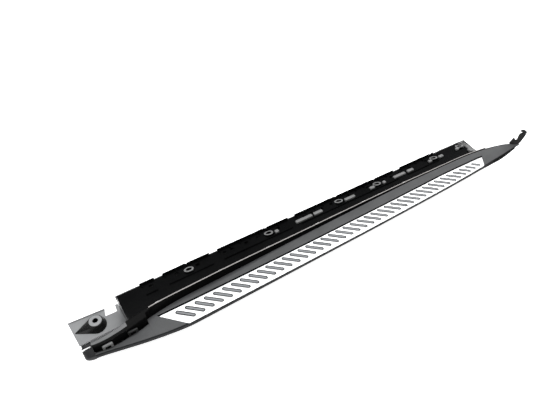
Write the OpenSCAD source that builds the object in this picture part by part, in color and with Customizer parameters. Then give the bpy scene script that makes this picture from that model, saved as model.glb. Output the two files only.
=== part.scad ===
// Running board for a sport utility vehicle: moulded step with a slotted tread plate,
// a sill panel with mounting sleeves, and an end plate with a locating boss.
// The board runs along X (rear end at low X), Y points towards the vehicle, Z is up.
// The origin is the locating bush's bore centre, at its top face.

/* [Placing] */
// Distance from the locating boss to the first grip slot
slot0_x = 265; // [262:1:268]
// Distance from the locating boss out to the tread's centre line
tread_y = 171; // [168:1:174]
// Height of the tread surface above the locating boss
tread_z = 40; // [38:1:42]

/* [Tread] */
// Distance between grip slots along the board
slot_pitch = 36; // [35:0.5:36.5]
// Number of grip slots
slot_count = 41; // [30:1:41]
// Width of each grip slot
slot_w = 14.5; // [10:0.5:15]
// Distance between the centres of a slot's round ends, along the board
slot_run = 42; // [36:1:44]
// Width of each rubber rib inside its slot
rib_w = 8; // [7:0.5:9]
// Height of the rubber ribs above the tread plate
rib_rise = 0.8; // [0.4:0.1:1.2]
// Thickness of the tread plate
plate_t = 1.5; // [1.2:0.1:1.8]

/* [Mouldings] */
// Thickness of the moulded walls
wall = 3; // [2.5:0.1:3.2]
// Thickness of the step cover's top
cover_t = 5.5; // [5.2:0.1:5.8]
// Thickness of the lower shell
shell_t = 2.8; // [2.5:0.1:3]

/* [Mounting sleeves] */
// Bore radius of the mounting sleeves
sleeve_bore_r = 10; // [8:0.25:10.5]
// Wall radius of the sleeves' bodies
sleeve_body_r = 13; // [12.5:0.25:13.5]
// Flange radius of the upper sleeves
upper_flange_r = 18.5; // [17:0.5:19]
// Flange radius of the lower sleeves
lower_flange_r = 16; // [15:0.5:16.5]
// Tilt of the upper sleeves towards the vehicle, in degrees
upper_tilt = 25; // [20:1:28]
// Slope of the sill panel down towards the front, in degrees
sill_tilt = 1.52; // [1.4:0.02:1.6]

/* [Locating boss] */
// Bore radius of the locating bush
bush_bore_r = 8.5; // [7:0.25:9]
// Radius of the boss at its top
boss_top_r = 24.5; // [24:0.5:26]
// Radius of the boss at its foot
boss_foot_r = 34; // [32:1:35]

/* [Hidden] */
$fn = 48;
gap = 0.3;                     // clearance between neighbouring pieces
cap_x = -342;                  // rear end of the board
body_x = -306;                 // where the step's body meets the rear end cap
tip_x = 1735;                  // front tip
shelf_x0 = -170;               // shelf and rail start
shelf_x1 = 1541;               // shelf ends
floor_x1 = 1660;               // channel floor ends
sill_z = 7.4;                  // height of the shelf above the tread at x = 0
shelf_y = 185;                 // vehicle-side edge of the shelf
channel_y = 150;               // outboard wall of the channel
floor_z = -73;                 // underside of the channel floor
rail_foot = [243, -70];        // lower edge of the mounting rail (y, z)
rail_top = [225, -45];         // upper edge of the mounting rail (y, z)
recess_x1 = -119;              // front end of the clip recess
sleeve_x = [92, 436, 784, 996, 1343];
upper_x = concat(sleeve_x, [1518]);
upper_y = 160;
clip_x = [147, 349, 542, 736, 942, 1102, 1302, 1487];
bracket_x = [150, 480, 810, 1140];
pocket_t = 3.3;                // depth of the tread pocket
tape_t = 0.8;
mat_t = 1;

// Guide curves: rows of x, y, z in the tread frame (z = 0 is the tread surface)
outer_edge = [[-342, 4, 17], [-288, -2, 15.5], [-216, -15, 11], [-144, -27, 5.5], [-60, -38, 1],
    [20, -43, 0], [700, -42, 0], [950, -39.5, 0], [1235, -34.5, 0], [1465, -26.5, 0],
    [1600, -18, -0.5], [1690, -10, -2.5], [1735, -6, -5]];
recess_edge = [[-342, 24, 14], [-290, 12, 11], [-252, 10, 6], [-216, 13, 3], [-180, 19, 1],
    [-144, 24, 0], [-119, 31, 0]];
valley = [[-119, 50, 0], [-72, 57, 0], [0, 65, 0], [180, 69, 0], [504, 75, 0],
    [792, 78, 0], [1080, 80, 0], [1260, 76, 0.2], [1440, 67, 2.5], [1560, 50, 7],
    [1656, 22, 11.5], [1735, -3.5, -4]];
band_rear = [[-342, 26, 0], [-310, 22.5, 0], [-272, 18.5, 0], [-244, 19.5, 0], [-180, 28, 0], [-119, 38, 0]];
band_front = [[-119, 52, 0], [-90, 61, 0], [-60, 67, 0], [0, 72, 0]];
lip = [[-342, 37, 42], [-288, 38, 36], [-216, 47, 33.5], [-180, 57, 33], [-72, 68.5, 36],
    [72, 73, 34], [216, 75.5, 32], [360, 79, 25.6], [504, 82, 19.4], [792, 85, 11.5],
    [1080, 87, 3.5], [1260, 82, 2], [1440, 73.5, 4], [1560, 55, 9.5], [1656, 27, 14]];
skirt = [[-342, 15], [-216, 16], [-100, 16], [0, 16], [180, 12], [360, 9.5], [720, 8.5], [1465, 8],
    [1735, 3]];
bulge = [[-342, 0], [1440, 0], [1500, 3], [1580, 9], [1660, 6], [1735, 0]];
keel = [[-342, 40, -44], [-216, 30, -42], [0, 8, -40], [700, 5, -40], [1300, 5, -38],
    [1500, 4, -34], [1650, -2, -20], [1735, -4, -11]];
shell_foot = [[-342, 113, -75.5], [-172, 113, -75.5], [-144, 142, -66.5], [0, 148.4, -65],
    [700, 149, -83.4], [1300, 149, -99.3], [1380, 148, -101.4], [1430, 144, -102.5], [1520, 120, -90],
    [1610, 60, -50], [1690, 12, -18], [1735, -2, -11]];

// Smooth value of column k at x along a guide
function span(t, x) = max([0, for (i = [1:len(t) - 2]) if (x >= t[i][0]) i]);
function grade(t, i, k) = let (a = max(0, i - 1), b = min(len(t) - 1, i + 1))
    (t[b][k] - t[a][k]) / (t[b][0] - t[a][0]);
function along(t, x, k = 1) = let (i = span(t, x), h = t[i + 1][0] - t[i][0], u = (x - t[i][0]) / h)
    (2 * u^3 - 3 * u^2 + 1) * t[i][k] + (u^3 - 2 * u^2 + u) * h * grade(t, i, k)
    + (3 * u^2 - 2 * u^3) * t[i + 1][k] + (u^3 - u^2) * h * grade(t, i + 1, k);

// The step's inner edge (k = 1 for y, 2 for z): a recess at the rear, the valley further on
function cover_in(x, k = 1) = x < recess_x1 ? along(recess_edge, x, k) : along(valley, x, k);
// The outboard edge of the lip's flat top
function band_out(x) = x < recess_x1 ? along(band_rear, x)
    : min(along(lip, x) - 2.5, x < 0 ? along(band_front, x) : 1000);

// Height of the sill shelf at x, in the tread frame
function shelf_z(x) = sill_z - x * tan(sill_tilt);

// Closed outline of a wall: an outside line, thickened on its left-hand side
function left(v) = [-v[1], v[0]] / norm(v);
function side(p, i) = left(p[i + 1] - p[i]);
function mitre(p, i) = let (a = side(p, max(0, i - 1)), b = side(p, min(len(p) - 2, i)))
    (a + b) / (1 + a * b);
function ribbon(p, t) = concat(p, [for (i = [len(p) - 1:-1:0]) p[i] + t * mitre(p, i)]);

// Stations along the board
function stations(a, b, every = 60) = concat([for (x = [a:every:b - every / 2]) x], [b]);
rear_x = [body_x, -290, -272, -252, -234, -216, -198, -180, shelf_x0, -144, -130, recess_x1 - 0.5,
    recess_x1 + 0.5];
front_x = stations(-100, shelf_x1);
nose_x = [1565, 1590, 1620, 1650, 1680, 1705, tip_x - 2];

// Solid through the outlines at the stations xs; each outline runs anticlockwise in (y, z)
module loft(xs, outlines) {
    n = len(outlines[0]);
    last = (len(xs) - 1) * n;
    points = [for (i = [0:len(xs) - 1]) for (q = outlines[i]) [xs[i], q[0], q[1]]];
    skin = [for (i = [0:len(xs) - 2]) for (j = [0:n - 1])
        let (a = i * n + j, b = i * n + (j + 1) % n)
        for (f = [[a, a + n, b + n], [a, b + n, b]]) f];
    polyhedron(points, concat([[for (j = [0:n - 1]) j]], skin, [[for (j = [n - 1:-1:0]) last + j]]));
}

// Moves a shape from the tread frame to the part's frame
module placed() {
    translate([slot0_x, -tread_y, tread_z]) children();
}

// Moves a shape from the sill frame (z = 0 is the shelf) to the part's frame
module on_sill() {
    placed() translate([0, 0, sill_z]) rotate([0, sill_tilt, 0]) children();
}

// A profile in (y, z), drawn along x
module along_x(x0, x1) {
    translate([x0, 0, 0]) rotate([90, 0, 90]) linear_extrude(x1 - x0) children();
}

module box(lo, hi) {
    translate(lo) cube(hi - lo);
}

// ---- step ----

function plate_points(grow) = [
    [-85 - 2 * grow, 37.5 + grow], [-6 - grow, -41.5 - grow], [700, -40.5 - grow],
    [950, -38 - grow], [1235, -33 - grow], [1465 + grow, -24 - grow],
    [1508 + 2 * grow, 22 + grow], [1476, 25 + grow], [1368, 28.8 + grow], [1260, 32 + grow],
    [1150, 30.8 + grow], [900, 29 + grow], [600, 29 + grow], [400, 30.2 + grow], [200, 32.4 + grow],
    [60, 34.6 + grow]];

// How long slot i is, as a share of a full slot; the last ones shorten with the plate
function slot_share(i) = i < slot_count - 5 ? 1 : 1 - 0.11 * (i - slot_count + 6);

// A slot's outline: straight sides between round ends
module slot_shape(i, w) {
    run = slot_run * slot_share(i);
    half = norm([run, 0.92 * run]) / 2;
    shift = 4.5 * (slot_share(i) - 1);
    translate([slot_pitch * i, -shift]) rotate(atan2(-0.92 * run, run))
        polygon([for (end = [0, 180]) for (a = [-90:30:90])
            [(half + w / 2 * cos(a)) * cos(end) - w / 2 * sin(a) * sin(end),
             (half + w / 2 * cos(a)) * sin(end) + w / 2 * sin(a) * cos(end)]]);
}

module tread_plate() color("whitesmoke") placed()
    translate([0, 0, -plate_t]) linear_extrude(plate_t) difference() {
        polygon(plate_points(0));
        for (i = [0:slot_count - 1]) slot_shape(i, slot_w);
    }

module grip_mat() color("slategray") placed() {
    mat_z = -plate_t - mat_t;
    translate([0, 0, mat_z]) linear_extrude(mat_t) polygon(plate_points(-1));
    translate([0, 0, -plate_t]) linear_extrude(plate_t + rib_rise)
        for (i = [0:slot_count - 1]) slot_shape(i, rib_w);
}

module bonding_tape() color("gainsboro") placed()
    translate([0, 0, -pocket_t]) linear_extrude(tape_t)
        for (y = [-22, 14]) translate([5, y]) square([1400, 10]);

module step_cover() color("dimgray") placed() difference() {
    xs = concat(rear_x, front_x, nose_x);
    loft(xs, [for (x = xs) let (vy = cover_in(x), vz = cover_in(x, 2),
        oy = along(outer_edge, x) + 3.5, oz = along(outer_edge, x, 2), edge = x > 1590 ? 3 : 7)
        ribbon([[vy, vz - edge], [vy, vz], [oy, oz], [oy, oz - edge]],
            x > 1690 ? 1 : edge == 3 ? 2 : cover_t)]);
    translate([0, 0, -pocket_t]) linear_extrude(2 * pocket_t) polygon(plate_points(0.5));
}

module outer_edge_trim() color("darkslategray") placed() {
    xs = concat(rear_x, front_x, nose_x);
    loft(xs, [for (x = xs) let (y = along(outer_edge, x), z = along(outer_edge, x, 2), h = along(skirt, x),
        top = x > -45 && x < 1515 ? min(z, -0.05) : z)
        [[y + 0.6, z - h], [y + 3.2, z - h], [y + 3.2, top - 0.6], [y + 1.2, top], [y, top - 1.5],
            [y, z - h + 1.5]]]);
}

module lower_shell() color("#202224") placed() difference() {
    xs = concat(rear_x, front_x, [for (x = nose_x) if (x < 1710) x]);
    loft(xs, [for (x = xs) let (sy = along(outer_edge, x) + 0.6 - along(bulge, x),
        sz = along(outer_edge, x, 2) - along(skirt, x) - gap,
        ky = along(keel, x), kz = along(keel, x, 2), fy = along(shell_foot, x), fz = along(shell_foot, x, 2),
        full = max(0, min(1, (x + 200) / 200)),
        belly = [for (u = [0:0.25:1]) [sy + (ky - sy) * (u + full * (1 - cos(90 * u) - u)),
            sz - (sz - kz) * (u + full * (sin(90 * u) - u))]])
        ribbon(concat(belly, [[ky * 0.6 + fy * 0.4, kz * 0.6 + fz * 0.4 - (x < -160 ? 6 : 1.5)], [fy, fz]]),
            x > 1650 ? 1 : shell_t)]);
    for (x = screw_x) translate([x, screw_y, -60]) cylinder(r = 3.2, h = 40);
}

screw_x = [90, 330, 570, 870, 1060, 1290];
screw_y = 20;

module shell_screws() color("silver") placed()
    for (x = screw_x) translate([x, screw_y, 0]) {
        translate([0, 0, -46.5]) cylinder(r = 6, h = 2.5);
        translate([0, 0, -44]) cylinder(r = 2.5, h = 17.8);
    }

// ---- carrier inside ----

beam_y = [-20, 40];
beam_z = [-26, -8];
beam_x = [-30, 1320];

module carrier_beam() color("lightsteelblue") placed() difference() {
    along_x(beam_x[0], beam_x[1]) difference() {
        translate([beam_y[0], beam_z[0]]) square([beam_y[1] - beam_y[0], beam_z[1] - beam_z[0]]);
        for (i = [0:1]) translate([beam_y[0] + 2.5 + i * 28.75, beam_z[0] + 2.5])
            square([26.25, 13]);
    }
    for (x = screw_x) translate([x, screw_y, -30]) cylinder(r = 2.5, h = 6);
}

module beam_end_plugs() color("black") placed()
    for (end = [0, 1]) translate([end == 0 ? beam_x[0] - 3 : beam_x[1], 0, 0]) {
        box([0, beam_y[0], beam_z[0]], [3, beam_y[1], beam_z[1]]);
        for (i = [0:1]) translate([end == 0 ? 3 : -12, beam_y[0] + 3 + i * 28.75, beam_z[0] + 3])
            cube([12, 25.25, 12]);
    }

module foam_strips() color("gray") placed()
    for (y = [-15, 24]) box([0, y, beam_z[1]], [1300, y + 10, -cover_t]);

bracket_t = 4;
bracket_w = 60;
function bolt_z(x) = shelf_z(x) - 44;

module support_brackets() color("darkgray") placed()
    for (x = bracket_x) difference() {
        translate([x - bracket_w / 2, 0, 0]) union() {
            box([0, -8, beam_z[0] - bracket_t], [bracket_w, channel_y - 0.2, beam_z[0]]);
            box([0, channel_y - bracket_t - 0.2, bolt_z(x) - 14], [bracket_w, channel_y - 0.2, beam_z[0]]);
        }
        for (s = [-18, 18]) translate([x + s, channel_y - 10, bolt_z(x)]) rotate([-90, 0,
            0]) cylinder(r = 4.3, h = 20);
    }

module at_bracket_bolts() {
    for (x = bracket_x) for (s = [-18, 18])
        translate([x + s, channel_y, bolt_z(x)]) rotate([-90, 0, 0]) children();
}

module bracket_bolts() color("silver") placed() at_bracket_bolts() {
    translate([0, 0, wall + 1.6]) cylinder(r = 7.5, h = 5, $fn = 6);
    translate([0, 0, -14]) cylinder(r = 4, h = 14 + wall + 1.6);
}

module bracket_washers() color("gainsboro") placed() at_bracket_bolts() difference() {
    translate([0, 0, wall]) cylinder(r = 9, h = 1.6);
    cylinder(r = 4, h = 20);
}

module bracket_nuts() color("silver") placed() at_bracket_bolts() difference() {
    translate([0, 0, -bracket_t - 6.7]) cylinder(r = 7.5, h = 6.5, $fn = 6);
    translate([0, 0, -20]) cylinder(r = 4, h = 20);
}

// ---- sill panel ----

// Outside of the lip, from its inner foot over the top to its outboard foot
function lip_line(x) = let (ly = along(lip, x), lz = along(lip, x, 2), out = band_out(x),
    fy = x < recess_x1 ? out - 2 : min(out - 0.5, cover_in(x) + 0.4), inner = x > 1500 ? 6 : 10)
    [[ly + inner, shelf_z(x) - 6], [ly + 2, lz - 1.2], [ly - 1, lz - 0.8], [out, lz - (ly - out) * 0.1 - 1],
     [fy, cover_in(x, 2) - 4]];

module sill_lip() color("#1b1c1e") placed() {
    xs = concat(rear_x, front_x, [1560]);
    loft(xs, [for (x = xs) ribbon(lip_line(x), 2.2)]);
}

module lip_seal() color("silver") placed() {
    xs = concat([-100], stations(-40, shelf_x1), [1558]);
    loft(xs, [for (x = xs) let (y = along(lip, x), z = along(lip, x, 2) - 1.2)
        [[y - 1.9, z], [y + 1.9, z], [y + 1.7, z + 1], [y + 0.7, z + 1.7], [y - 0.7, z + 1.7],
            [y - 1.7, z + 1]]]);
}

module lip_retainers() color("white") placed()
    for (x = [-64, 180, 387, 620, 860, 1090])
        let (a = lip_line(x)[1], b = lip_line(x)[0], u = (b - a) / norm(b - a), n = [-u[1], u[0]])
            along_x(x - 8, x + 8)
                polygon([for (q = [[7, 0.5], [12, 0.5], [12, 4], [7, 4]]) a + q[0] * u + q[1] * n]);

// Outline of the shelf in plan, following the lip
module shelf_plan() {
    xs = concat([shelf_x0, -144, -130, recess_x1 - 0.5, recess_x1 + 0.5], front_x);
    polygon(concat([for (x = xs) [x, along(lip, x) + (x > 1500 ? 6.4 : 10.4)]],
        [[shelf_x1, 172], [1536, 172], [1530, shelf_y], [shelf_x0, shelf_y]]));
}

upstand_x = [[-88, -33], [-1, 187], [220, 541], [574, 1110], [1150, 1362]];
window_x = [-60, 40, 122, 236, 268, 330, 382, 476, 598, 640, 690, 740, 836, 940, 1030, 1074, 1128, 1190,
    1290, 1380];
// Grey pads on the shelf: where each starts and its length
pads = [[458, 16], [558, 78], [646, 42], [808, 52], [946, 24], [1020, 14], [1084, 66], [1166, 34],
    [1300, 18],
    [1366, 26], [1480, 18]];

module sleeve_axis(x) {
    translate([x, upper_y, 0]) rotate([-upper_tilt, 0, 0]) children();
}

module sill_shelf() color("#161719") on_sill() difference() {
    union() {
        translate([0, 0, -wall]) linear_extrude(wall) shelf_plan();
        box([shelf_x0, shelf_y - wall, -14], [1440, shelf_y, 0]);
        for (u = upstand_x) {
            box([u[0], shelf_y - 2.5, 0], [u[1], shelf_y, 12]);
            box([u[0] + 6, 134, 0], [u[1] - 6, 136.5, 5]);
            for (x = [u[0] + 6:44:u[1] - 8]) box([x, 171, 0], [x + 2.5, shelf_y - 2.5, 6]);
        }
        for (x = upper_x) sleeve_axis(x) translate([0, 0, -14]) cylinder(r = 20.5, h = 15);
    }
    for (x = window_x) box([x, 158, -wall - 1], [x + 14, 170, 1]);
    for (x = upper_x) sleeve_axis(x) {
        translate([0, 0, -40]) cylinder(r = sleeve_body_r, h = 80);
        translate([0, 0, 1]) cylinder(r = 19.2, h = 30);
    }
}

module shelf_end_wall() color("#161719") on_sill()
    box([shelf_x0 - wall - 0.2, 72, floor_z + wall], [shelf_x0 - 0.2, shelf_y, 0]);

module shelf_clips() color("lightgray") on_sill()
    for (p = pads) {
        box([p[0], 142, 0.2], [p[0] + p[1], 155, 9]);
        box([p[0] + 4, 155, 0.2], [p[0] + p[1] - 4, 157.8, 6]);
    }

module upper_sleeves() color("lightgray") on_sill()
    for (x = upper_x) sleeve_axis(x) difference() {
        union() {
            translate([0, 0, 1]) cylinder(r = upper_flange_r, h = 2);
            translate([0, 0, -14]) cylinder(r = sleeve_body_r, h = 15);
        }
        translate([0, 0, -20]) cylinder(r = sleeve_bore_r, h = 40);
    }

// ---- channel and mounting rail ----

module channel_floor() color("#18191b") on_sill() translate([0, 0, floor_z]) linear_extrude(wall)
    polygon([[shelf_x0, channel_y], [floor_x1 - 4, channel_y], [floor_x1 + 10, rail_foot[0]],
        [shelf_x0, rail_foot[0]]]);

module channel_wall() color("#18191b") difference() {
    on_sill() {
        box([shelf_x0, channel_y, floor_z + wall + 0.2], [shelf_x1, channel_y + wall, -wall - 0.2]);
        for (x = [0:170:1480]) box([x, channel_y + wall, floor_z + wall + 0.2], [x + 2.5,
            channel_y + 18, -50]);
    }
    placed() at_bracket_bolts() translate([0, 0, -5]) cylinder(r = 4.3, h = 12);
    on_sill() for (x = upper_x) sleeve_axis(x) translate([0, 0, -15]) cylinder(r = 21, h = 30);
}

rail_run = rail_top - rail_foot;
rail_h = norm(rail_run);
rail_gap_x = [-34, 19, 66, 238, 283, 584, 621, 902, 1183, 1433];

// Places a shape on the rail: x along it, y up its slope, z out of its back
module on_rail() {
    translate([0, rail_foot[0], rail_foot[1]]) rotate([atan2(rail_run[1], rail_run[0]), 0, 0]) children();
}

module mounting_rail() color("gray") on_sill() on_rail() difference() {
    union() {
        translate([shelf_x0, 1.8, 0]) cube([1610 - shelf_x0, rail_h - 1.8, wall]);
        for (x = clip_x) linear_extrude(wall)
            polygon([[x - 36, rail_h - 1], [x + 36, rail_h - 1], [x + 23, rail_h + 6], [x - 23,
                rail_h + 6]]);
        for (x = sleeve_x) translate([x, rail_h / 2 + 1.5, -4]) cylinder(r = 17.5, h = 4 + wall);
    }
    for (x = sleeve_x) translate([x, rail_h / 2 + 1.5, -10]) cylinder(r = sleeve_body_r, h = 30);
    for (x = rail_gap_x) translate([x - 2, 8, -1]) cube([4, 40, wall + 2]);
    for (x = clip_x) translate([x - 6, rail_h / 2 - 6, -1]) cube([12, 12, wall + 2]);
    for (x = [-142, -98, -60, 0]) translate([x, rail_h / 2, -1]) cylinder(r = 2.5, h = wall + 2);
}

module lower_sleeves() color("lightgray") on_sill() on_rail()
    for (x = sleeve_x) translate([x, rail_h / 2 + 1.5, 0]) difference() {
        union() {
            translate([0, 0, -6]) cylinder(r = lower_flange_r, h = 2);
            translate([0, 0, -4]) cylinder(r = sleeve_body_r, h = 4 + wall);
        }
        translate([0, 0, -10]) cylinder(r = sleeve_bore_r, h = 30);
    }

module clip_nuts() color("dimgray") on_sill() on_rail()
    for (x = clip_x) translate([x, rail_h / 2, 0]) difference() {
        union() {
            translate([-5.8, -5.8, 0]) cube([11.6, 11.6, wall]);
            translate([-8, -8, -1.6]) cube([16, 16, 1.6]);
        }
        translate([0, 0, -5]) cylinder(r = 2.6, h = 12);
    }

// ---- rear end ----

wall_foot_z = -72;

module rear_wall() color("#1a1b1d") placed() {
    xs = concat([for (x = rear_x) if (x < shelf_x0) x], [shelf_x0 - wall - gap]);
    loft(xs, [for (x = xs) let (y = along(lip, x) + 10, foot = 66 + (x - cap_x) * 0.06)
        ribbon([[124, wall_foot_z], [foot + 4, -54], [foot, -46], [y, shelf_z(x) - 6.4]], 2.4)]);
}

plate_slope = 8;
plate_y0 = 124.5;
plate_z0 = -73;

module on_end_plate() {
    translate([0, plate_y0, plate_z0]) rotate([plate_slope, 0, 0]) children();
}

// Outline of the end plate: x along the board, y up the plate's slope
end_plate_points = [[-342, 0], [shelf_x0 - wall - 0.5, 0], [shelf_x0 - wall - 0.5, 86], [-184, 87],
    [-187, 60], [-228, 62], [-221, 90], [-349, 99]];

module end_plate() color("#8f9594") placed() difference() {
    union() {
        on_end_plate() linear_extrude(wall) polygon(end_plate_points);
        on_end_plate() translate([0, 0, wall]) linear_extrude(3)
            polygon([[-349, 99], [-221, 90], [-221, 87.5], [-349, 96.5]]);
    }
    translate([-slot0_x, tread_y, -80]) cylinder(r = 12.5, h = 60);
}

// The boss tapers off into a ridge towards the rear
module locating_boss() color("#121315") placed() difference() {
    hull() {
        translate([-slot0_x, tread_y, -tread_z - 32]) cylinder(r1 = boss_foot_r + 2.9, r2 = boss_top_r,
            h = 30);
        translate([-336, 174, -72]) cylinder(r1 = 6, r2 = 2, h = 10.5);
    }
    on_end_plate() translate([-360, 0, wall + 0.2 - 60]) cube([200, 110, 60]);
    translate([-slot0_x, tread_y, -80]) cylinder(r = 12, h = 60);
}

module locating_bush() color("silver") difference() {
    union() {
        translate([0, 0, -2]) cylinder(r = 22, h = 2);
        translate([0, 0, -22]) cylinder(r = 12, h = 20);
    }
    translate([0, 0, -30]) cylinder(r = bush_bore_r, h = 40);
}

// The cap's outline: towards the rear its top is lowered by drop and its outboard edge moved in by inset
function cap_outline(x, drop, inset) = let (oy = along(outer_edge, x) + inset, oz = along(outer_edge,
    x, 2) - drop,
    ly = along(lip, x), lz = along(lip, x, 2) - drop, out = band_out(x))
    [[114, -75.5], [124, -72], [70, -53], [66, -45], [ly + 10, -6], [ly + 2, lz - 1.2], [out, lz - 3],
     [oy, oz], [oy + 0.6, oz - 17 + drop], [16 + inset, -24 + drop], [42, -45 + 0.3 * drop], [78, -61]];

module rear_end_cap() color("#26282a") placed() {
    steps = [[-338, 14, 12], [-335, 9, 7], [-329, 4, 3], [-320, 1, 1], [-312, 0, 0], [body_x - 0.2, 0, 0]];
    loft([for (t = steps) t[0]], [for (t = steps) cap_outline(t[0], t[1], t[2])]);
}

module rear_clip_housings() color("darkgray") placed()
    for (x = [-263, -176]) let (y = cover_in(x) + 0.6, z = cover_in(x, 2))
        translate([x, y, z - 6]) difference() {
            box([-17, 0, 0], [17, 6.4, 24]);
            box([-9, -1, -1], [9, 7, 16]);
        }

module tail_clip() color("white") placed() hull() {
    box([-338, 26, 30], [-334, 31, 34]);
    box([-314, 25, 34], [-310, 27, 38.5]);
}

// ---- front end ----

module front_bracket() color("gray") on_sill() difference() {
    union() {
        box([shelf_x1 + 4, 128, floor_z + wall], [floor_x1 - 6, 236, floor_z + 2 * wall]);
        for (x = [1550, 1574, 1598, 1622]) box([x, 132, floor_z + 2 * wall], [x + 2.5, 228, floor_z + 16]);
        for (y = [136, 178, 214]) box([1550, y, floor_z + 2 * wall], [1622, y + 2.5, floor_z + 12]);
        box([1628, 205, floor_z + 2 * wall], [1644, 230, floor_z + 14]);
        box([shelf_x1 - 14, 100, 0.2], [shelf_x1, 120, 8]);
    }
    translate([1636, 217, -80]) cylinder(r = 6, h = 60);
}

// Outline of the clip arm in its own upright plane
arm_points = [[-18, 0], [-5.5, 32], [6.6, 18], [10, 23], [11.5, 49], [17, 59], [25, 62], [20, 67], [12, 71],
    [13, 75], [25, 78], [38, 71], [40, 66], [35.5, 40], [28, 12], [24, 6], [18, 0]];

module front_clip_arm() color("black") placed()
    translate([1700, 8, 6.5]) rotate([90, 0, -40]) translate([0, 0,
        -4.5]) linear_extrude(9) polygon(arm_points);

step_cover();
tread_plate();
grip_mat();
bonding_tape();
outer_edge_trim();
lower_shell();
shell_screws();
carrier_beam();
beam_end_plugs();
foam_strips();
support_brackets();
bracket_bolts();
bracket_washers();
bracket_nuts();
sill_lip();
lip_seal();
lip_retainers();
sill_shelf();
shelf_clips();
upper_sleeves();
shelf_end_wall();
channel_wall();
channel_floor();
mounting_rail();
lower_sleeves();
clip_nuts();
rear_wall();
end_plate();
locating_boss();
locating_bush();
rear_end_cap();
rear_clip_housings();
tail_clip();
front_bracket();
front_clip_arm();
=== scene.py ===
import math

import bmesh
import bpy
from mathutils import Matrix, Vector


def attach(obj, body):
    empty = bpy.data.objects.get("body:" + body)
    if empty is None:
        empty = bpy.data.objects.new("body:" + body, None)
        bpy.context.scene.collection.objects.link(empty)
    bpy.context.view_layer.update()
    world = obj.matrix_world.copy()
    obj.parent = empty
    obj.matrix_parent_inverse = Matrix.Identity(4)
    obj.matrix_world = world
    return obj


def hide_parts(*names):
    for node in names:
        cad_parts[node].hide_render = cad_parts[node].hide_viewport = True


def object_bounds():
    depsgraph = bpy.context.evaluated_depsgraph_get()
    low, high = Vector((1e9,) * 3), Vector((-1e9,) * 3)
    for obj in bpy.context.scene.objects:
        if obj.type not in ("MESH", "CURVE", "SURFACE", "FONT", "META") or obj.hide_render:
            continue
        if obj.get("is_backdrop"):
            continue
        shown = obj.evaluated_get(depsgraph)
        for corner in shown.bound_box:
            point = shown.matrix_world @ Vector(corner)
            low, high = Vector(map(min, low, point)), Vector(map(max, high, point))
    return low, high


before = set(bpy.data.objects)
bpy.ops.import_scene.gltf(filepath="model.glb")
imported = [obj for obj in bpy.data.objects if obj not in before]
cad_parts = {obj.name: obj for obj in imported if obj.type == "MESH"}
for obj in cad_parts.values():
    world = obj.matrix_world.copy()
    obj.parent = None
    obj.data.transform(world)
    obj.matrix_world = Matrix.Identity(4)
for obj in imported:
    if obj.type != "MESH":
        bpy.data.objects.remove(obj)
lo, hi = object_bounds()

# ---- the part's own frames, in millimetres ----

TILT = math.radians(1.52)
SLOPE = math.radians(8)
MM = 1000  # in a metre
BUSH = (-265, 171, -40)  # the part's origin, in the tread frame
SHELF_RISE = 7.4  # the shelf above the tread surface at x = 0
END_PLATE_FOOT = (124.5, -73)  # y and z of the end plate's lower edge
BOX_FACES = ((0, 1, 3, 2), (4, 6, 7, 5), (0, 4, 5, 1), (2, 3, 7, 6), (0, 2, 6, 4), (1, 5, 7, 3))


def tread(x, y, z):
    """Tread frame: x from the first slot, z = 0 at the tread surface."""
    return Vector(((x - BUSH[0]) / MM, (y - BUSH[1]) / MM, (z - BUSH[2]) / MM))


def sill(x, y, z):
    """Sill frame: z = 0 at the shelf, which slopes down towards the front."""
    return tread(x * math.cos(TILT) + z * math.sin(TILT), y,
                 z * math.cos(TILT) - x * math.sin(TILT) + SHELF_RISE)


def end_plate(x, y, z):
    """End plate frame: y up the plate's slope, z = 0 at its underside."""
    return tread(x, END_PLATE_FOOT[0] + y * math.cos(SLOPE) - z * math.sin(SLOPE),
                 END_PLATE_FOOT[1] + y * math.sin(SLOPE) + z * math.cos(SLOPE))


def shelf_z(x):
    return SHELF_RISE - x * math.tan(TILT)


# ---- guide curves: each row is x, then y and z or a measure of its own ----

OUTER = [(-342, 4, 17), (-288, -2, 15.5), (-216, -15, 11), (-144, -27, 5.5), (-60, -38, 1), (20, -43, 0),
         (700, -42, 0), (950, -39.5, 0), (1235, -34.5, 0), (1465, -26.5, 0), (1600, -18, -0.5),
         (1690, -10, -2.5), (1735, -6, -5)]
RECESS = [(-342, 24, 14), (-290, 12, 11), (-252, 10, 6), (-216, 13, 3), (-180, 19, 1), (-144, 24, 0),
          (-119, 31, 0)]
VALLEY = [(-119, 50, 0), (-72, 57, 0), (0, 65, 0), (180, 69, 0), (504, 75, 0), (792, 78, 0), (1080, 80, 0),
          (1260, 76, 0.2), (1440, 67, 2.5), (1560, 50, 7), (1656, 22, 11.5), (1735, -3.5, -4)]
BAND_REAR = [(-342, 26), (-310, 22.5), (-272, 18.5), (-244, 19.5), (-180, 28), (-119, 38)]
BAND_FRONT = [(-119, 52), (-90, 61), (-60, 67), (0, 72)]
LIP = [(-342, 37, 42), (-288, 38, 36), (-216, 47, 33.5), (-180, 57, 33), (-72, 68.5, 36), (72, 73, 34),
       (216, 75.5, 32), (360, 79, 25.6), (504, 82, 19.4), (792, 85, 11.5), (1080, 87, 3.5), (1260, 82, 2),
       (1440, 73.5, 4), (1560, 55, 9.5), (1656, 27, 14)]
SKIRT = [(-342, 15), (-216, 16), (-100, 16), (0, 16), (180, 12), (360, 9.5), (720, 8.5), (1465, 8),
         (1735, 3)]
BULGE = [(-342, 0), (1440, 0), (1500, 3), (1580, 9), (1660, 6), (1735, 0)]
KEEL = [(-342, 40, -44), (-216, 30, -42), (0, 8, -40), (700, 5, -40), (1300, 5, -38), (1500, 4, -34),
        (1650, -2, -20), (1735, -4, -11)]
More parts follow.
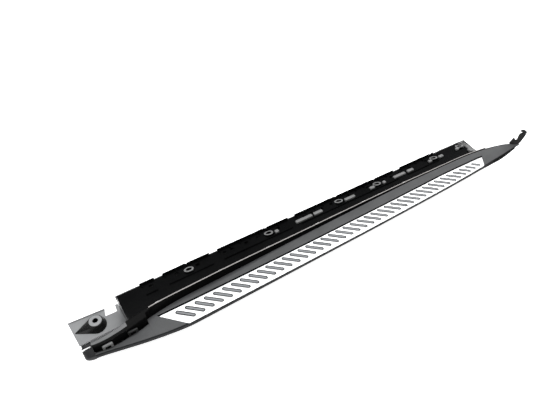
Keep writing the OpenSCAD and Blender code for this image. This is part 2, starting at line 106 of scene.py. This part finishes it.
FOOT = [(-342, 113, -75.5), (-172, 113, -75.5), (-144, 142, -66.5), (0, 148.4, -65), (700, 149, -83.4),
        (1300, 149, -99.3), (1380, 148, -101.4), (1430, 144, -102.5), (1520, 120, -90), (1610, 60, -50),
        (1690, 12, -18), (1735, -2, -11)]
PLATE_OUT = [(-6, -41.5), (700, -40.5), (950, -38), (1235, -33), (1465, -24)]
PLATE_IN = [(1476, 25), (1368, 28.8), (1260, 32), (1150, 30.8), (900, 29), (600, 29), (400, 30.2),
            (200, 32.4), (60, 34.6)]
CAP_END = [(-338, 14, 12), (-335, 9, 7), (-329, 4, 3), (-320, 1, 1), (-312, 0, 0), (-306.2, 0, 0)]
RECESS_X1 = -119  # front end of the recess behind the rear of the step


def along(table, x, k=1):
    """Smooth value of column k at x."""
    i = max([0] + [j for j in range(1, len(table) - 1) if x >= table[j][0]])

    def grade(j):
        a, b = max(0, j - 1), min(len(table) - 1, j + 1)
        return (table[b][k] - table[a][k]) / (table[b][0] - table[a][0])

    h = table[i + 1][0] - table[i][0]
    u = (x - table[i][0]) / h
    return ((2 * u**3 - 3 * u**2 + 1) * table[i][k] + (u**3 - 2 * u**2 + u) * h * grade(i)
            + (3 * u**2 - 2 * u**3) * table[i + 1][k] + (u**3 - u**2) * h * grade(i + 1))


def cover_in(x, k=1):
    return along(RECESS, x, k) if x < RECESS_X1 else along(VALLEY, x, k)


def band_out(x):
    if x < RECESS_X1:
        return along(BAND_REAR, x)
    near = along(LIP, x) - 2.5
    return min(near, along(BAND_FRONT, x)) if x < 0 else near


def ribbon(points, t):
    """Closed outline of a wall: a line thickened by t on its left."""
    sides = []
    for a, b in zip(points, points[1:]):
        d = math.hypot(b[0] - a[0], b[1] - a[1])
        sides.append((-(b[1] - a[1]) / d, (b[0] - a[0]) / d))
    back = []
    for i, p in enumerate(points):
        a, b = sides[max(0, i - 1)], sides[min(len(sides) - 1, i)]
        s = 1 + a[0] * b[0] + a[1] * b[1]
        back.append((p[0] + t * (a[0] + b[0]) / s, p[1] + t * (a[1] + b[1]) / s))
    return list(points) + back[::-1]


def rounded(points, radii, steps=4):
    """Rounds the corners of a closed outline; corner i takes radii[i]."""
    out = []
    n = len(points)
    for i, p in enumerate(points):
        r = radii[i] if i < len(radii) else 0.25
        a, b = points[i - 1], points[(i + 1) % n]
        if r <= 0:
            out.append(p)
            continue
        da, db = math.dist(p, a), math.dist(p, b)
        ra, rb = min(r, 0.45 * da), min(r, 0.45 * db)
        s = (p[0] + (a[0] - p[0]) * ra / da, p[1] + (a[1] - p[1]) * ra / da)
        e = (p[0] + (b[0] - p[0]) * rb / db, p[1] + (b[1] - p[1]) * rb / db)
        for k in range(steps + 1):
            u = k / steps
            out.append(tuple((1 - u)**2 * s[c] + 2 * u * (1 - u) * p[c] + u * u * e[c] for c in (0, 1)))
    return out


def stations(a, b, every=12):
    n = max(1, round((b - a) / every))
    return [a + (b - a) * i / n for i in range(n + 1)]


# ---- mesh helpers ----

def finish_mesh(ob, angle=38):
    me = ob.data
    bm = bmesh.new()
    bm.from_mesh(me)
    bmesh.ops.remove_doubles(bm, verts=bm.verts, dist=1e-6)
    bmesh.ops.recalc_face_normals(bm, faces=bm.faces)
    bm.to_mesh(me)
    bm.free()
    me.shade_smooth()
    me.set_sharp_from_angle(angle=math.radians(angle))
    return ob


def add(name, me):
    ob = bpy.data.objects.new(name, me)
    bpy.context.scene.collection.objects.link(ob)
    return ob


def from_faces(name, verts, faces, angle=38):
    me = bpy.data.meshes.new(name)
    me.from_pydata([tuple(v) for v in verts], [], faces)
    return finish_mesh(add(name, me), angle)


def loft(name, xs, section, place=tread, angle=38):
    """Solid through the outlines section(x) at the stations xs."""
    rings = [[place(x, y, z) for y, z in section(x)] for x in xs]
    n = len(rings[0])
    faces = [(i * n + j, i * n + (j + 1) % n, (i + 1) * n + (j + 1) % n, (i + 1) * n + j)
             for i in range(len(rings) - 1) for j in range(n)]
    faces += [tuple(range(n)), tuple((len(rings) - 1) * n + j for j in range(n))]
    return from_faces(name, [v for r in rings for v in r], faces, angle)


def lathe(name, profile, centre, axis, turns=56, angle=38):
    """Closed (r, z) profile in millimetres, turned around an axis through centre."""
    w = axis.normalized()
    u = w.orthogonal().normalized()
    v = w.cross(u)
    n = len(profile)
    verts = [centre + (u * math.cos(2 * math.pi * i / turns) * r + v * math.sin(2 * math.pi * i / turns) * r
                       + w * z) / MM for i in range(turns) for r, z in profile]
    faces = [(i * n + j, i * n + (j + 1) % n, (i + 1) % turns * n + (j + 1) % n, (i + 1) % turns * n + j)
             for i in range(turns) for j in range(n)]
    return from_faces(name, verts, faces, angle)


def box_corners(a, b, place):
    return [place(x, y, z) for x in (a[0], b[0]) for y in (a[1], b[1]) for z in (a[2], b[2])]


def hull_around(name, points):
    """The convex solid around some points."""
    bm = bmesh.new()
    for p in points:
        bm.verts.new(p)
    bmesh.ops.convex_hull(bm, input=bm.verts)
    me = bpy.data.meshes.new(name)
    bm.to_mesh(me)
    bm.free()
    return add(name, me)


def subtract(ob, tools):
    """Cuts the tools out of a piece and removes them."""
    for tool in tools:
        m = ob.modifiers.new("cut", "BOOLEAN")
        m.operation = "DIFFERENCE"
        m.object = tool
        m.solver = "EXACT"
    apply(ob)
    for tool in tools:
        bpy.data.objects.remove(tool)


def bevelled(ob, width, segments=2, angle=30):
    m = ob.modifiers.new("bevel", "BEVEL")
    m.width = width / MM
    m.segments = segments
    m.limit_method = "ANGLE"
    m.angle_limit = math.radians(angle)
    m.harden_normals = False
    apply(ob)
    return finish_mesh(ob)


def apply(ob):
    deps = bpy.context.evaluated_depsgraph_get()
    me = bpy.data.meshes.new_from_object(ob.evaluated_get(deps))
    ob.modifiers.clear()
    ob.data = me


def blocks(name, boxes, place, bevel=0.8):
    """Bevelled blocks, each from a low to a high corner."""
    verts, faces = [], []
    for a, b in boxes:
        k = len(verts)
        verts += box_corners(a, b, place)
        faces += [tuple(k + i for i in f) for f in BOX_FACES]
    return bevelled(from_faces(name, verts, faces), bevel)


def sheet(name, outlines, z0, z1, place, bevel=0.3, res=1):
    """A flat piece with holes: closed outlines in x, y between z0 and z1."""
    cu = bpy.data.curves.new(name + "_outline", "CURVE")
    cu.dimensions = "2D"
    cu.fill_mode = "BOTH"
    for pts in outlines:
        s = cu.splines.new("POLY")
        s.points.add(len(pts) - 1)
        for q, p in zip(s.points, pts):
            q.co = (p[0], p[1], 0, 1)
        s.use_cyclic_u = True
    cu.extrude = max(0.01, (z1 - z0) / 2 - bevel)
    cu.bevel_depth = bevel
    cu.bevel_resolution = res
    cu.offset = -bevel
    tmp = add(name + "_outline", cu)
    deps = bpy.context.evaluated_depsgraph_get()
    me = bpy.data.meshes.new_from_object(tmp.evaluated_get(deps))
    bpy.data.objects.remove(tmp)
    bpy.data.curves.remove(cu)
    mid = (z0 + z1) / 2
    for v in me.vertices:
        v.co = place(v.co.x, v.co.y, v.co.z + mid)
    me.name = name
    return finish_mesh(add(name, me), 30)


def join(name, parts):
    """One mesh out of several."""
    bm = bmesh.new()
    for p in parts:
        bm.from_mesh(p.data)
    me = bpy.data.meshes.new(name)
    bm.to_mesh(me)
    bm.free()
    for p in parts:
        old = p.data
        bpy.data.objects.remove(p)
        bpy.data.meshes.remove(old)
    me.shade_smooth()
    me.set_sharp_from_angle(angle=math.radians(35))
    return add(name, me)


# ---- materials ----

def surface(name, dark, light, rough, metallic=0.0, specular=0.5, patch=9.0, grain=420.0, bump=0.12,
            stretch=(1, 1, 1)):
    """Colour that drifts between two close tones, roughness that drifts, and a fine grain."""
    m = bpy.data.materials.new(name)
    m.use_nodes = True
    nt = m.node_tree
    bsdf = nt.nodes["Principled BSDF"]
    bsdf.inputs["Metallic"].default_value = metallic
    bsdf.inputs["Specular IOR Level"].default_value = specular
    co = nt.nodes.new("ShaderNodeTexCoord")
    mp = nt.nodes.new("ShaderNodeMapping")
    mp.inputs["Scale"].default_value = stretch
    nt.links.new(co.outputs["Object"], mp.inputs["Vector"])

    def noise(scale, detail):
        n = nt.nodes.new("ShaderNodeTexNoise")
        n.inputs["Scale"].default_value = scale
        n.inputs["Detail"].default_value = detail
        nt.links.new(mp.outputs["Vector"], n.inputs["Vector"])
        return n

    def ramp(source, a, b):
        r = nt.nodes.new("ShaderNodeValToRGB")
        r.color_ramp.elements[0].position = 0.3
        r.color_ramp.elements[1].position = 0.7
        r.color_ramp.elements[0].color = (*a, 1)
        r.color_ramp.elements[1].color = (*b, 1)
        nt.links.new(source.outputs["Fac"], r.inputs["Fac"])
        return r

    big, small = noise(patch, 3), noise(grain, 2)
    nt.links.new(ramp(big, dark, light).outputs["Color"], bsdf.inputs["Base Color"])
    nt.links.new(ramp(small, (rough[0],) * 3, (rough[1],) * 3).outputs["Color"], bsdf.inputs["Roughness"])
    b = nt.nodes.new("ShaderNodeBump")
    b.inputs["Strength"].default_value = bump
    b.inputs["Distance"].default_value = 0.0004
    nt.links.new(small.outputs["Fac"], b.inputs["Height"])
    nt.links.new(b.outputs["Normal"], bsdf.inputs["Normal"])
    return m


def grey(v, cool=0.0):
    return (v * (1 - cool), v, v * (1 + cool))


MATS = {
    "cover": surface("step_cover_grain", grey(0.06, 0.02), grey(0.078, 0.02), (0.48, 0.6),
                     specular=0.3, bump=0.25, grain=700),
    "shell": surface("lower_shell_grain", grey(0.006), grey(0.009), (0.5, 0.7),
                     specular=0.08, bump=0.25),
    "cap": surface("end_cap_grain", grey(0.012, 0.04), grey(0.018, 0.04), (0.4, 0.55),
                   specular=0.2, bump=0.2),
    "lip": surface("lip_black", grey(0.002), grey(0.003), (0.2, 0.3), specular=0.03, bump=0.05),
    # lighter grey on black plastic: painted reflection of the softbox, used on the lip's flat top and the
    # rear wall
    "band": surface("band_painted_reflection", grey(0.1, 0.015), grey(0.125, 0.015), (0.34, 0.46),
                    specular=0.35, bump=0.06),
    "shelf": surface("shelf_black", grey(0.002, 0.05), grey(0.0035, 0.05), (0.14, 0.22),
                     specular=0.05, bump=0.05),
    "channel": surface("channel_black", grey(0.004), grey(0.006), (0.3, 0.4),
                       specular=0.1, bump=0.1),
    # light grey on a black plastic plate: painted reflection of the softbox on its top
    "plate_end": surface("end_plate_painted_reflection", grey(0.17, 0.02), grey(0.21, 0.02), (0.3, 0.42), bump=0.06),
    "boss": surface("boss_black", grey(0.003), grey(0.005), (0.22, 0.3), specular=0.3, bump=0.04),
    "black_plastic": surface("black_plastic_fine", grey(0.004), grey(0.007), (0.35, 0.5),
                             specular=0.12),
    "grey_plastic": surface("grey_plastic_fine", grey(0.14), grey(0.19), (0.38, 0.52),
                            specular=0.3, bump=0.15),
    # darker than the sleeves' own light grey plastic: painted shade
    "sleeve": surface("sleeve_plastic_painted_shade", grey(0.17), grey(0.22), (0.3, 0.42),
                      specular=0.3, bump=0.08),
    "dark_clip": surface("dark_clip_fine", grey(0.01), grey(0.018), (0.35, 0.5),
                         specular=0.25, bump=0.15),
    "white_plastic": surface("white_plastic_fine", grey(0.8), grey(0.88), (0.3, 0.4), bump=0.05),
    "tread": surface("tread_brushed", grey(0.86, 0.004), grey(0.93, 0.004), (0.3, 0.42), metallic=0.35,
                     patch=30, grain=300, bump=0.06, stretch=(0.04, 1, 1)),
    "beam": surface("beam_brushed", grey(0.6), grey(0.7), (0.3, 0.45), metallic=1, stretch=(0.05, 1, 1)),
    "rib": surface("rib_rubber", grey(0.2, 0.03), grey(0.25, 0.03), (0.55, 0.65), specular=0.2, bump=0.25),
    # near-black: painted shade, not the mat's own grey rubber; it darkens the gaps round the ribs, the
    # groove round the plate and the turned pieces' bores
    "mat": surface("mat_rubber_painted_shade", grey(0.002, 0.03), grey(0.004, 0.03), (0.6, 0.75),
                   specular=0.01, bump=0.25),
    "edge": surface("edge_rubber_fine", grey(0.006, 0.1), grey(0.009, 0.1), (0.4, 0.52),
                    specular=0.12, bump=0.12),
    # light warm grey: painted highlight along the lip's top edge, carried by the seal bead
    "seal": surface("seal_painted_highlight", (0.3, 0.285, 0.275), (0.37, 0.352, 0.34), (0.4, 0.55),
                    specular=0.3, bump=0.08),
    "tape": surface("tape_foam", grey(0.6), grey(0.72), (0.6, 0.8), bump=0.4),
    "foam": surface("foam_cells", grey(0.03), grey(0.06), (0.8, 0.95), bump=0.8),
    "zinc": surface("zinc_plate", grey(0.55), grey(0.66), (0.25, 0.4), metallic=1, bump=0.1),
    "coated": surface("coated_black", grey(0.02), grey(0.035), (0.35, 0.5), bump=0.2),
    "spring": surface("spring_steel", grey(0.015), grey(0.03), (0.3, 0.45), metallic=0.4, bump=0.1),
    "bush": surface("bush_steel", grey(0.24, 0.02), grey(0.3, 0.02), (0.28, 0.4), metallic=0.2, bump=0.08),
}


def dress(ob, mat, node=None):
    ob.data.materials.clear()
    ob.data.materials.append(MATS[mat])
    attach(ob, "root")
    if node:
        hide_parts(node)
    return ob


def paint_bore_shade(ob, centre, axis, radius):
    """Paints a turned piece's faces within radius of its axis, in metres, near-black: painted shade inside
    the bore.
    """
    ob.data.materials.append(MATS["mat"])
    for poly in ob.data.polygons:
        arm = poly.center - centre
        if (arm - axis * arm.dot(axis)).length < radius:
            poly.material_index = 1


# ---- step ----

REAR_XS = stations(-306, -119.5, 6)
MAIN_XS = [-118.5] + stations(-112, 1541, 14)
NOSE_XS = stations(1553, 1733, 9)
ALL_XS = REAR_XS + MAIN_XS + NOSE_XS


def plate_outline(inner, outer):
    """The tread plate's outline, with its inner edge moved inboard and the rest outboard."""
    out = [(-85 - 2 * outer, 37.5 + inner)]
    for x in stations(-6, 1465, 30):
        out.append((x, along(PLATE_OUT, x) - outer))
    out.append((1508 + 2 * outer, 22 + inner))
    out += [(x, y + inner) for x, y in PLATE_IN]
    return out


def cover_section(x):
    vy, vz = cover_in(x), cover_in(x, 2)
    oy, oz = along(OUTER, x) + 3.5, along(OUTER, x, 2)
    edge = 3 if x > 1590 else 7
    t = 1 if x > 1690 else 2 if edge == 3 else 5.5
    line = [(vy, vz - edge), (vy, vz), (oy, oz), (oy, oz - edge)]
    return rounded(ribbon(line, t), [0, 1.4, 1.6, 0, 0, 0, 0, 0])


cover = loft("cover_shell", ALL_XS, cover_section)
cutter = sheet("pocket_cutter", [rounded(plate_outline(7.2, 0.6), [2] * 60, 3)], -3.3, 6, tread, 0.05, 0)
subtract(cover, [cutter])
dress(finish_mesh(cover), "cover", "step_cover")


SLOTS, PITCH = 41, 36
FULL_SLOTS = 36  # the ones after these are shorter by SHORTER each
SHORTER = 0.11
SLOT_RUN, SLOT_SLANT = 42, 0.92
SLOT_WIDTH = 14.9
RIB_RINGS = ((8, -2.3), (7.9, -0.3), (7.6, 0.15), (6.9, 0.42), (5.6, 0.5), (4.2, 0.46), (3.0, 0.3),
             (1.8, 0.24))  # width and height


def capsule(i, w):
    """Outline of slot i with width w, its ends round."""
    share = 1 if i < FULL_SLOTS else 1 - SHORTER * (i - FULL_SLOTS + 1)
    run = SLOT_RUN * share
    half = math.hypot(run, SLOT_SLANT * run) / 2
    turn = math.atan2(-SLOT_SLANT * run, run)
    out = []
    for end in (0, math.pi):
        for k in range(13):
            a = math.radians(-90 + 15 * k)
            u, v = half + w / 2 * math.cos(a), w / 2 * math.sin(a)
            u, v = u * math.cos(end) - v * math.sin(end), u * math.sin(end) + v * math.cos(end)
            out.append((PITCH * i + u * math.cos(turn) - v * math.sin(turn),
                        -4.5 * (share - 1) + u * math.sin(turn) + v * math.cos(turn)))
    return out


slots = [capsule(i, SLOT_WIDTH) for i in range(SLOTS)]
plate = sheet("slotted_plate", [rounded(plate_outline(0, 0), [3] * 60, 4)] + slots, -1.5, 0, tread, 0.22, 2)
dress(plate, "tread", "tread_plate")

# the mat's base sheet, near-black as painted shade in the gaps round the ribs
base = sheet("mat_base", [rounded(plate_outline(-1, -1), [2] * 60, 3)], -3.2, -2.2, tread, 0.1, 0)
dress(base, "mat", "grip_mat")
# a near-black sheet in the groove round the plate: painted shadow of the gap
groove_shade_sheet = sheet("groove_painted_shade", [plate_outline(7, 0.4), plate_outline(0.4, 0.1)], -3.2, -0.25, tread, 0.1, 0)
dress(groove_shade_sheet, "mat", "grip_mat")
verts, faces = [], []
for i in range(SLOTS):
    rings = [capsule(i, w) for w, z in RIB_RINGS]
    k, n = len(verts), len(rings[0])
    for ring, (w, z) in zip(rings, RIB_RINGS):
        verts += [tread(p[0], p[1], z) for p in ring]
    faces += [(k + r * n + j, k + r * n + (j + 1) % n, k + (r + 1) * n + (j + 1) % n, k + (r + 1) * n + j)
              for r in range(len(rings) - 1) for j in range(n)]
    faces += [tuple(k + j for j in range(n)), tuple(k + (len(rings) - 1) * n + j for j in range(n))]
dress(from_faces("grip_ribs", verts, faces, 45), "rib", "grip_mat")


def trim_section(x):
    y, z, h = along(OUTER, x), along(OUTER, x, 2), along(SKIRT, x)
    top = min(z, -0.05) if -45 < x < 1515 else z
    return rounded([(y + 0.6, z - h), (y + 3.2, z - h), (y + 3.2, top - 0.6), (y + 1.2, top),
                    (y, top - 1.5), (y, z - h + 1.5)], [0.5, 0.3, 0.3, 0.8, 0.9, 0.8])


dress(loft("edge_strip", ALL_XS, trim_section), "edge", "outer_edge_trim")


def shell_section(x):
    sy = along(OUTER, x) + 0.6 - along(BULGE, x)
    sz = along(OUTER, x, 2) - along(SKIRT, x) - 0.3
    ky, kz, fy, fz = along(KEEL, x), along(KEEL, x, 2), along(FOOT, x), along(FOOT, x, 2)
    full = max(0, min(1, (x + 200) / 200))
    line = []
    for i in range(9):
        u = i / 8
        a = math.radians(90 * u)
        line.append((sy + (ky - sy) * (u + full * (1 - math.cos(a) - u)),
                     sz - (sz - kz) * (u + full * (math.sin(a) - u))))
    line += [(ky * 0.6 + fy * 0.4, kz * 0.6 + fz * 0.4 - (6 if x < -160 else 1.5)), (fy, fz)]
    return ribbon(line, 1 if x > 1650 else 2.8)


BELLY_XS = REAR_XS + MAIN_XS + stations(1553, 1705, 9)
dress(loft("belly", BELLY_XS, shell_section), "shell", "lower_shell")


# ---- sill lip ----

def lip_line(x):
    ly, lz, out = along(LIP, x), along(LIP, x, 2), band_out(x)
    fy = out - 2 if x < RECESS_X1 else min(out - 0.5, cover_in(x) + 0.4)
    inner = 6 if x > 1500 else 10
    return [(ly + inner, shelf_z(x) - 6), (ly + 2, lz - 1.2), (ly - 1, lz - 0.8),
            (out, lz - (ly - out) * 0.1 - 1), (fy, cover_in(x, 2) - 4)]


def lip_section(x):
    return rounded(ribbon(lip_line(x), 2.2), [0.3, 1.2, 0.8, 1.6, 0.3, 0.2, 0.6, 0.4, 0.6, 0.2])


LIP_XS = REAR_XS + MAIN_XS + [1553, 1560]
dress(loft("lip_wall", LIP_XS, lip_section), "lip", "sill_lip")


def band_section(x):
    """The lip's flat top, a skin over its flange in the lighter band grey: painted reflection on the black
    lip.
    """
    ly, lz, out = along(LIP, x), along(LIP, x, 2), band_out(x)
    z = lz - (ly - out) * 0.1 - 1
    return [(ly + 1.2, lz - 1.2), (ly + 0.6, lz - 0.75), (ly - 1, lz - 0.62), (out + 1.2, z - 0.02),
            (out + 0.2, z - 0.6), (out + 1.6, z - 1.2), (ly - 1, lz - 1.6)]


def seal_section(x):
    y, z = along(LIP, x), along(LIP, x, 2) - 1.2
    return [(y - 1.9, z), (y + 1.9, z), (y + 1.9, z + 0.5), (y + 1.6, z + 1.15), (y + 1, z + 1.55),
            (y, z + 1.7), (y - 1, z + 1.55), (y - 1.6, z + 1.15), (y - 1.9, z + 0.5)]


dress(loft("lip_flange", [x for x in REAR_XS if x < -180], band_section), "band")
# the bead's light grey is a painted highlight along the lip's top edge
dress(loft("seal_bead", stations(-100, 1558, 14), seal_section), "seal", "lip_seal")


# ---- rear end ----

def wall_section(x):
    y, foot = along(LIP, x) + 10, 66 + (x + 342) * 0.06
    line = [(124, -72), (foot + 4, -54), (foot, -46), (y, shelf_z(x) - 6.4)]
    return rounded(ribbon(line, 2.4), [0.3, 3, 3, 0.3])


# the rear wall in the lighter band grey: painted reflection on black plastic
dress(loft("flank_wall", stations(-306, -173.3, 7), wall_section), "band", "rear_wall")

plate_corner = [(-342, 0), (-173.5, 0), (-173.5, 86), (-184, 87), (-187, 60), (-228, 62), (-221, 90),
                (-349, 99)]
floor_sheet = sheet("end_sheet", [rounded(plate_corner, [3, 1, 3, 3, 3, 3, 3, 5])], 0, 3, end_plate, 0.5, 2)
rim_line = rounded([(-349, 99), (-221, 90), (-221, 87.5), (-349, 96.5)], [0.8] * 4)
rim = sheet("end_rim", [rim_line], 2.6, 6, end_plate, 0.5, 2)
# the end plate and its rim in the light grey that paints the softbox reflection
dress(join("end_sheet_and_rim", [floor_sheet, rim]), "plate_end", "end_plate")

ORIGIN, UP = Vector((0, 0, 0)), Vector((0, 0, 1))
ROUND_END = ((36.9, -72), (25.6, -44.6), (24.9, -43), (24, -42.2), (22.9, -42))  # radius and z
POINTED_END = ((6, -72), (2.8, -62.4), (2, -61.5))
boss = hull_around("boss", [
    tread(cx + r * math.cos(math.radians(a)), cy + r * math.sin(math.radians(a)), z)
    for cx, cy, levels in ((-265, 171, ROUND_END), (-336, 174, POINTED_END))
    for r, z in levels for a in range(0, 360, 5)])
below = from_faces("below", box_corners((-360, 0, -50), (-160, 110, 3.2), end_plate), BOX_FACES)
bore = lathe("bore", [(0, -30), (12.2, -30), (12.2, 5), (0, 5)], ORIGIN, UP)
subtract(boss, [below, bore])
dress(finish_mesh(boss, 25), "boss", "locating_boss")

bush = lathe("bush", [(8.5, -22), (12, -22), (12, -2.4), (22, -2), (22, -0.7), (21.3, 0), (14.6, 0),
                      (14.2, -0.35), (13.4, -0.35), (13, 0), (9.6, 0), (8.5, -1)], ORIGIN, UP, 72)
dress(bush, "bush", "locating_bush")
paint_bore_shade(bush, ORIGIN, UP, 0.0093)


def cap_section(x):
    drop, inset = along(CAP_END, x), along(CAP_END, x, 2)
    oy, oz = along(OUTER, x) + inset, along(OUTER, x, 2) - drop
    ly, lz, out = along(LIP, x), along(LIP, x, 2) - drop, band_out(x)
    pts = [(114, -75.5), (124, -72), (70, -53), (66, -45), (ly + 10, -6), (ly + 2, lz - 1.2), (out, lz - 3),
           (oy, oz), (oy + 0.6, oz - 17 + drop), (16 + inset, -24 + drop), (42, -45 + 0.3 * drop),
           (78, -61)]
    return rounded(pts, [0.5, 0.5, 4, 6, 10, 3, 5, 4, 4, 8, 8, 8])


end_cap = loft("end_cap", stations(-338, -306.2, 2), cap_section, angle=50)
dress(end_cap, "cap", "rear_end_cap")

frames = []
for x in (-263, -176):
    y, z = cover_in(x) + 0.6, cover_in(x, 2)

    def upright(px, py, pz, x=x, y=y, z=z):
        return tread(x + px, y + pz, z - 6 + py)

    shape = rounded([(-17, 0), (-9, 0), (-9, 16), (9, 16), (9, 0), (17, 0), (17, 24), (-17, 24)],
                    [0.5, 0.5, 2.5, 2.5, 0.5, 0.5, 4, 4])
    frames.append(sheet("frame_%d" % len(frames), [shape], 0, 6.4, upright, 0.7, 2))
dress(frames[0], "grey_plastic", "rear_clip_housings")
dress(frames[1], "dark_clip", "rear_clip_housings")

# the tail clip as a white tab: the clip is real, its white is a painted glint along its edge
tail_tab = hull_around("tail_tab", box_corners((-338, 26, 30), (-334, 31, 34), tread)
                       + box_corners((-314, 25, 34), (-310, 27, 38.5), tread))
dress(bevelled(tail_tab, 0.8), "white_plastic", "tail_clip")

# ---- shelf ----

PADS = [(458, 16), (558, 78), (646, 42), (808, 52), (946, 24), (1020, 14), (1084, 66), (1166, 34),
        (1300, 18), (1366, 26), (1480, 18)]  # x and length
SLEEVE_XS = (92, 436, 784, 996, 1343, 1518)
SLEEVE_LEAN = math.radians(25)  # towards the vehicle
boxes = []
for x, w in PADS:
    boxes += [((x, 142, 0.2), (x + w, 155, 9)), ((x + 4, 155.2, 0.2), (x + w - 4, 157.8, 6))]
dress(blocks("shelf_pads", boxes, sill, 1.6), "grey_plastic", "shelf_clips")


def tilted(x, y, z):
    """An upper sleeve's frame: z along its axis."""
    return sill(x, 160 + y * math.cos(SLEEVE_LEAN) + z * math.sin(SLEEVE_LEAN),
                z * math.cos(SLEEVE_LEAN) - y * math.sin(SLEEVE_LEAN))


for x in SLEEVE_XS:
    centre = tilted(x, 0, 0)
    axis = (tilted(x, 0, 1) - centre).normalized()
    ring = lathe("ring_%d" % x, [(10, -14), (12.9, -14), (12.9, 1), (18.4, 1), (18.5, 2.2), (17.9, 2.9),
                                 (12.4, 3), (11.6, 2.2), (10.3, 1.6), (10, 1)], centre, axis)
    dress(ring, "sleeve", "upper_sleeves")
    paint_bore_shade(ring, centre, axis, 0.0112)


BEAD_X0 = 1556  # where the lip ends and the bead along the nose begins


def bead_section(x):
    y, z = cover_in(x), cover_in(x, 2)
    rise = along(LIP, BEAD_X0, 2) - cover_in(BEAD_X0, 2) - 0.5
    z += max(0, 1 - (x - BEAD_X0) / 70) * max(0, rise)
    return [(y - 2.4, z - 1.4), (y - 2.4, z - 0.2), (y - 1.2, z + 0.5), (y, z + 0.3), (y + 0.3, z - 0.8),
            (y - 0.4, z - 1.6)]


dress(loft("nose_bead", stations(BEAD_X0, 1722, 9), bead_section), "cap")

# ---- carried-over parts: their finishes ----

KEPT = {
    "bonding_tape": "tape", "shell_screws": "zinc", "carrier_beam": "beam",
    "beam_end_plugs": "black_plastic",
    "foam_strips": "foam", "support_brackets": "coated", "bracket_bolts": "zinc", "bracket_washers": "zinc",
    "bracket_nuts": "zinc", "lip_retainers": "white_plastic", "shelf_end_wall": "shelf",
    "channel_wall": "channel", "channel_floor": "channel", "clip_nuts": "spring",
    "sill_shelf": "shelf", "mounting_rail": "grey_plastic",
    "lower_sleeves": "sleeve", "front_bracket": "grey_plastic", "front_clip_arm": "black_plastic",
}
for node, mat in KEPT.items():
    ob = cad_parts[node]
    ob.data.materials.clear()
    ob.data.materials.append(MATS[mat])

# ---- studio ----

ground = bpy.data.meshes.new("ground")
z = lo.z - 0.002
ground.from_pydata([(-9, -7, z), (12, -7, z), (12, 11, z), (-9, 11, z)], [], [(0, 1, 2, 3)])
floor = add("ground", ground)
floor_mat = surface("ground_white", grey(0.9), grey(0.92), (0.8, 0.9), specular=0.1, bump=0.0, patch=2)
shader = floor_mat.node_tree.nodes["Principled BSDF"]
shader.inputs["Emission Color"].default_value = (1, 1, 1, 1)
shader.inputs["Emission Strength"].default_value = 0.7
ground.materials.append(floor_mat)
floor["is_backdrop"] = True


def lamp(name, x0, x1, y0, y1, height, radiance):
    """An area lamp that faces down; lengths in metres."""
    data = bpy.data.lights.new(name, "AREA")
    data.shape = "RECTANGLE"
    data.size, data.size_y = x1 - x0, y1 - y0
    data.energy = radiance * math.pi * (x1 - x0) * (y1 - y0)
    ob = bpy.data.objects.new(name, data)
    ob.location = ((x0 + x1) / 2, (y0 + y1) / 2, height)
    bpy.context.scene.collection.objects.link(ob)


lamp("softbox", -1, 5, 0.2, 1.2, 2.0, 4.5)
lamp("front_fill", -5, 7, -4.5, -1.6, 3.4, 2.2)
lamp("back_fill", -6, 2, 5, 9, 3.4, 2.0)

world = bpy.data.worlds.new("studio")
bpy.context.scene.world = world
world.use_nodes = True
world.node_tree.nodes["Background"].inputs["Color"].default_value = (0.97, 0.98, 1, 1)
world.node_tree.nodes["Background"].inputs["Strength"].default_value = 0.3
bpy.context.scene.view_settings.view_transform = "Standard"

cam = bpy.data.cameras.new("camera")
cam.lens, cam.sensor_width = 33.1, 36
view = bpy.data.objects.new("camera", cam)
view.location = (-0.0136, -1.1498, 1.4886)
view.rotation_euler = (math.radians(45.47), 0, math.radians(-33.16))
bpy.context.scene.collection.objects.link(view)
bpy.context.scene.camera = view

lo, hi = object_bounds()
